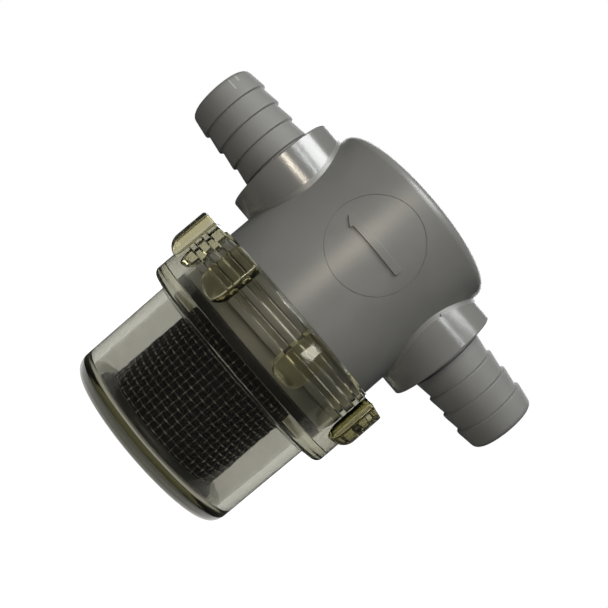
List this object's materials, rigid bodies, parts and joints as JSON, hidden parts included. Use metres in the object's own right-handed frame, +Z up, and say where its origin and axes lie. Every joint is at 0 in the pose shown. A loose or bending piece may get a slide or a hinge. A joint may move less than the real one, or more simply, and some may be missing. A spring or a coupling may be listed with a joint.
{
  "type": "inline strainer",
  "caption": "Inline strainer with a moulded head carrying a hose barb on each side, a clear screw-on bowl with grip lugs, a flat seal and a woven screen inside.",
  "frame": {"origin": "centre of the bowl's base, on the surface that the strainer stands on", "axes": "+Z up along the axis of bowl and head, +X along the barbs towards the inlet, -Y towards the side that carries the flow arrow"},
  "size_m": [0.116, 0.0716, 0.0938],
  "materials": {
    "head": "fine moulded texture, slightly glossier on the hubs",
    "bowl": "clear, with a faint olive tint where it is thick",
    "seal": "smooth black",
    "screen": "dark woven stainless wire",
    "screen_ends": "dark moulded plastic"
  },
  "bodies": {
    "head": {"head": "head"},
    "screen_stack": {"screen_mesh": "screen", "screen_end_cap": "screen_ends", "screen_collar": "screen_ends", "bowl_seal": "seal"},
    "bowl": {"bowl": "bowl"}
  },
  "joints": [
    {"name": "bowl_drop", "type": "slide", "parent": "head", "child": "screen_stack", "axis": [0, 0, -1], "range_m": [0, 0.01]},
    {"name": "bowl_turn", "type": "hinge", "parent": "screen_stack", "child": "bowl", "pos_m": [0, 0, 0], "axis": [0, 0, -1], "range_deg": [0, 900]}
  ],
  "couplings": [
    {"joint": "bowl_drop", "follows": "bowl_turn", "m_per_rad": 0.0006366}
  ]
}
